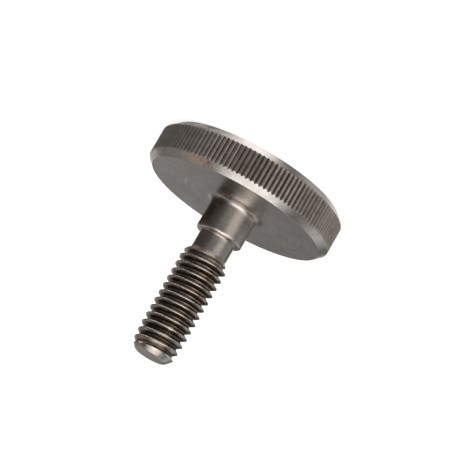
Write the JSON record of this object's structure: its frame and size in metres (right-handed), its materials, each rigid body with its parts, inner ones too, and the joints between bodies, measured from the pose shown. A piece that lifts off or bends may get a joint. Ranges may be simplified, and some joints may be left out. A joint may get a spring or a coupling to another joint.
{
  "type": "thumb screw",
  "caption": "Turned steel thumb screw: a thin wide head with a straight-knurled rim, a plain collar, an undercut and a fine-pitch threaded shank with a chamfered tip.",
  "frame": {"origin": "centre of the head's outer face, on the screw's axis", "axes": "+Z along the axis, from the head towards the threaded tip; the screw stands on its head"},
  "size_m": [0.024, 0.024, 0.0253],
  "materials": {
    "turned_steel": "turned satin steel, lightly stained and worn"
  },
  "bodies": {
    "root": {"thumb_screw": "turned_steel"}
  },
  "joints": []
}
